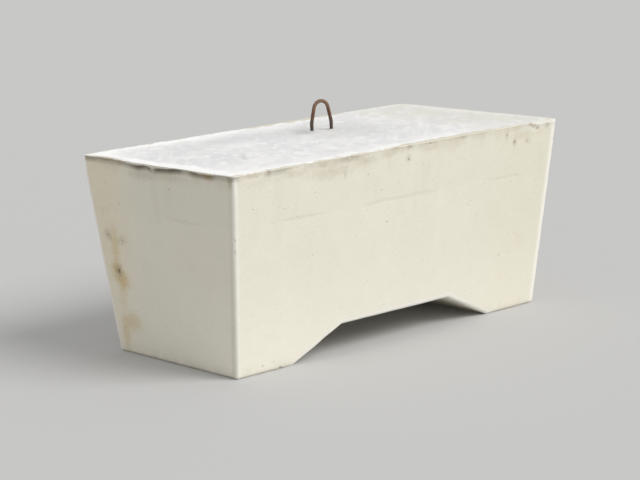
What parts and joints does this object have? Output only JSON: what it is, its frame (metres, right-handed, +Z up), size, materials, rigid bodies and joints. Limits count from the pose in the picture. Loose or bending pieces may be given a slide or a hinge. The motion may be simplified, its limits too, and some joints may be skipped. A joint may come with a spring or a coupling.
{
  "type": "concrete block",
  "caption": "Cast concrete ballast block with battered sides, a wide notch underneath for forks or slings, and a bent steel bar cast into its deck as a lifting loop.",
  "frame": {"origin": "middle of the footprint, on the floor that the two feet stand on", "axes": "+X along the block, +Y across it, away from the long side that faces the camera, +Z up out of the deck; the notch runs through along Y"},
  "size_m": [1.3594, 0.7188, 0.7079],
  "materials": {
    "cast_concrete": "matte",
    "rusted_steel": "matte"
  },
  "bodies": {
    "root": {"concrete_block": "cast_concrete", "lifting_loop": "rusted_steel"}
  },
  "joints": []
}
